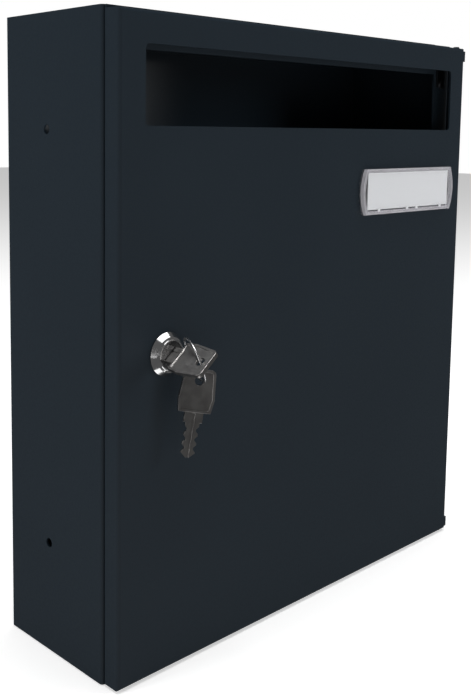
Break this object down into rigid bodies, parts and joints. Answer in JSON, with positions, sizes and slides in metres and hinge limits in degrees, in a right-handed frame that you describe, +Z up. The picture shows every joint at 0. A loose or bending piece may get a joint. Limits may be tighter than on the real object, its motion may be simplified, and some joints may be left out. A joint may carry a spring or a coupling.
{
  "type": "wall mounted mailbox",
  "caption": "Wall mounted steel mailbox: folded body, hinged pan door with an open letter slot, cam lock with two keys on a ring, and a clear name plate.",
  "frame": {"origin": "centre of the four wall-screw holes, on the back face that lies against the wall", "axes": "+X to the reader's right, +Y into the wall, +Z up; the door faces -Y"},
  "size_m": [0.312, 0.1285, 0.35],
  "materials": {
    "powder_coat": "satin anthracite powder coat",
    "zinc_steel": "bright zinc plate",
    "lock_chrome": "polished",
    "lock_brass": "machined",
    "key_nickel": "nickel plate, tumbled",
    "ring_wire": "bright wire",
    "clear_plastic": "clear",
    "card": "plain white card",
    "nylon": "natural"
  },
  "bodies": {
    "housing": {"body_wrap": "powder_coat", "top_cap": "powder_coat", "bottom_cap": "powder_coat", "hinge_bracket_upper": "zinc_steel", "hinge_bracket_lower": "zinc_steel", "hinge_pin_upper": "powder_coat", "hinge_pin_lower": "powder_coat", "hinge_washer_upper": "nylon", "hinge_washer_lower": "nylon", "bracket_rivets": "zinc_steel"},
    "door": {"door_panel": "powder_coat", "lock_housing": "lock_chrome", "lock_nut": "zinc_steel", "nameplate_holder": "clear_plastic"},
    "lock_core": {"lock_plug": "lock_chrome", "lock_wafers": "lock_brass", "lock_cam": "zinc_steel", "cam_washer": "zinc_steel", "cam_nut": "zinc_steel"},
    "key": {"key_in_lock": "key_nickel"},
    "ring": {"key_ring": "ring_wire"},
    "spare": {"spare_key": "key_nickel"},
    "window": {"nameplate_window": "clear_plastic", "name_card": "card"}
  },
  "joints": [
    {"name": "door_swing", "type": "hinge", "parent": "housing", "child": "door", "pos_m": [0.15, -0.093, 0], "axis": [0, 0, 1], "range_deg": [0, 110]},
    {"name": "lock_turn", "type": "hinge", "parent": "door", "child": "lock_core", "pos_m": [-0.123, -0.1005, -0.0006], "axis": [0, 1, 0], "range_deg": [0, 90]},
    {"name": "key_pull", "type": "slide", "parent": "lock_core", "child": "key", "axis": [0, -1, 0], "range_m": [0, 0.024]},
    {"name": "ring_swing", "type": "hinge", "parent": "key", "child": "ring", "pos_m": [-0.11919, -0.1126, 0.00248], "axis": [0.3447, 0.8962, 0.2792], "range_deg": [-8, 6]},
    {"name": "spare_key_swing", "type": "hinge", "parent": "ring", "child": "spare", "pos_m": [-0.11155, -0.11006, -0.01291], "axis": [-0.4938, -0.8687, 0.0394], "range_deg": [-20, 20]},
    {"name": "window_pull", "type": "slide", "parent": "door", "child": "window", "axis": [0, -1, 0], "range_m": [0, 0.012]}
  ]
}
